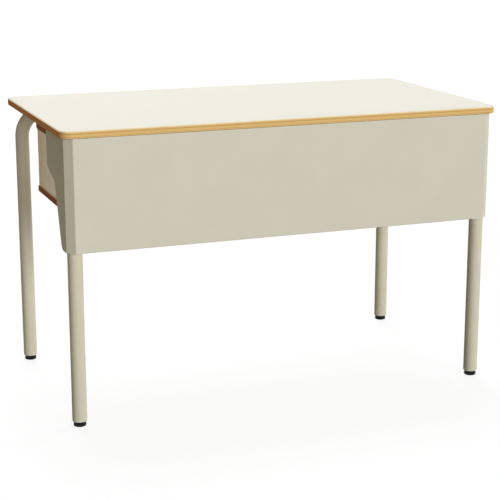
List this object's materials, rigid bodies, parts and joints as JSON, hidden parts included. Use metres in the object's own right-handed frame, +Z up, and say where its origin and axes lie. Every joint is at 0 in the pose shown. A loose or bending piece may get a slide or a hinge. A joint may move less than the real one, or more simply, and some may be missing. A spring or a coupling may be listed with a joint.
{
  "type": "teacher desk",
  "caption": "Teacher desk with laminated plywood top on bent round tube frames, folded steel front panel, and a lockable drawer unit on rollers hung under the left end.",
  "frame": {"origin": "on the floor, under the middle of the desktop", "axes": "+X along the desk to its right as seen from the panel side, -Y towards the front panel, +Y towards the teacher, +Z up"},
  "size_m": [1.2, 0.65, 0.765],
  "materials": {
    "cream_laminate": "satin high-pressure laminate, warm white",
    "beech_plywood": "clear-lacquered layered edge",
    "backer_sheet": "plain backing laminate",
    "frame_paint": "satin powder coat, pebble grey",
    "panel_paint": "satin powder coat, pebble grey",
    "black_plastic": "matt moulded",
    "zinc_steel": "zinc plated",
    "board_face": "beige melamine faces, bare layered edge",
    "drawer_board": "beige melamine",
    "runner_paint": "cream epoxy coat",
    "roller_plastic": "moulded nylon",
    "satin_nickel": "satin nickel plate"
  },
  "bodies": {
    "desk": {"desktop_laminate": "cream_laminate", "desktop_core": "beech_plywood", "desktop_backer": "backer_sheet", "front_tube_frame": "frame_paint", "rear_tube_frame": "frame_paint", "rail_left": "frame_paint", "rail_middle": "frame_paint", "rail_right": "frame_paint", "modesty_panel": "panel_paint", "box_top_board": "board_face", "box_bottom_board": "board_face", "box_back": "board_face", "top_angle_left_front": "frame_paint", "top_screw_left_front": "zinc_steel", "box_screw_left_front": "zinc_steel", "top_angle_left_rear": "frame_paint", "top_screw_left_rear": "zinc_steel", "box_screw_left_rear": "zinc_steel", "panel_bracket_left": "frame_paint", "panel_nut_left_lower": "zinc_steel", "panel_nut_left_upper": "zinc_steel", "box_side_left": "board_face", "cabinet_runner_left": "runner_paint", "top_angle_right_front": "frame_paint", "top_screw_right_front": "zinc_steel", "box_screw_right_front": "zinc_steel", "top_angle_right_rear": "frame_paint", "top_screw_right_rear": "zinc_steel", "box_screw_right_rear": "zinc_steel", "panel_bracket_right": "frame_paint", "panel_nut_right_lower": "zinc_steel", "panel_nut_right_upper": "zinc_steel", "box_side_right": "board_face", "cabinet_runner_right": "runner_paint", "foot_insert_front_left": "black_plastic", "foot_insert_front_right": "black_plastic", "foot_insert_rear_left": "black_plastic", "foot_insert_rear_right": "black_plastic"},
    "drawer": {"drawer_front": "drawer_board", "drawer_back": "drawer_board", "drawer_bottom": "drawer_board", "drawer_handle": "satin_nickel", "lock_body": "satin_nickel", "drawer_side_left": "drawer_board", "drawer_runner_left": "runner_paint", "handle_screw_left": "zinc_steel", "drawer_side_right": "drawer_board", "drawer_runner_right": "runner_paint", "handle_screw_right": "zinc_steel"},
    "lock": {"lock_plug": "satin_nickel", "lock_cam": "zinc_steel"},
    "glide_front_left": {"levelling_glide_front_left": "black_plastic"},
    "glide_front_right": {"levelling_glide_front_right": "black_plastic"},
    "glide_rear_left": {"levelling_glide_rear_left": "black_plastic"},
    "glide_rear_right": {"levelling_glide_rear_right": "black_plastic"},
    "cabinet_roller_left": {"cabinet_roller_left": "roller_plastic"},
    "drawer_roller_left": {"drawer_roller_left": "roller_plastic"},
    "cabinet_roller_right": {"cabinet_roller_right": "roller_plastic"},
    "drawer_roller_right": {"drawer_roller_right": "roller_plastic"}
  },
  "joints": [
    {"name": "drawer_slide", "type": "slide", "parent": "desk", "child": "drawer", "axis": [0, 1, 0], "range_m": [0, 0.345]},
    {"name": "lock_turn", "type": "hinge", "parent": "drawer", "child": "lock", "pos_m": [-0.325, 0.174, 0.671], "axis": [0, 1, 0], "range_deg": [0, 90]},
    {"name": "glide_front_left_height", "type": "slide", "parent": "desk", "child": "glide_front_left", "axis": [0, 0, -1], "range_m": [0, 0.012]},
    {"name": "glide_front_right_height", "type": "slide", "parent": "desk", "child": "glide_front_right", "axis": [0, 0, -1], "range_m": [0, 0.012]},
    {"name": "glide_rear_left_height", "type": "slide", "parent": "desk", "child": "glide_rear_left", "axis": [0, 0, -1], "range_m": [0, 0.012]},
    {"name": "glide_rear_right_height", "type": "slide", "parent": "desk", "child": "glide_rear_right", "axis": [0, 0, -1], "range_m": [0, 0.012]},
    {"name": "cabinet_roller_left_spin", "type": "hinge", "parent": "desk", "child": "cabinet_roller_left", "pos_m": [-0.52315, 0.15, 0.5583], "axis": [1, 0, 0], "continuous": true},
    {"name": "drawer_roller_left_spin", "type": "hinge", "parent": "drawer", "child": "drawer_roller_left", "pos_m": [-0.52315, -0.22, 0.5583], "axis": [1, 0, 0], "continuous": true},
    {"name": "cabinet_roller_right_spin", "type": "hinge", "parent": "desk", "child": "cabinet_roller_right", "pos_m": [-0.12685, 0.15, 0.5583], "axis": [1, 0, 0], "continuous": true},
    {"name": "drawer_roller_right_spin", "type": "hinge", "parent": "drawer", "child": "drawer_roller_right", "pos_m": [-0.12685, -0.22, 0.5583], "axis": [1, 0, 0], "continuous": true}
  ],
  "couplings": [
    {"joint": "cabinet_roller_left_spin", "follows": "drawer_slide", "rad_per_m": -100},
    {"joint": "drawer_roller_left_spin", "follows": "drawer_slide", "rad_per_m": -100},
    {"joint": "cabinet_roller_right_spin", "follows": "drawer_slide", "rad_per_m": -100},
    {"joint": "drawer_roller_right_spin", "follows": "drawer_slide", "rad_per_m": -100}
  ]
}
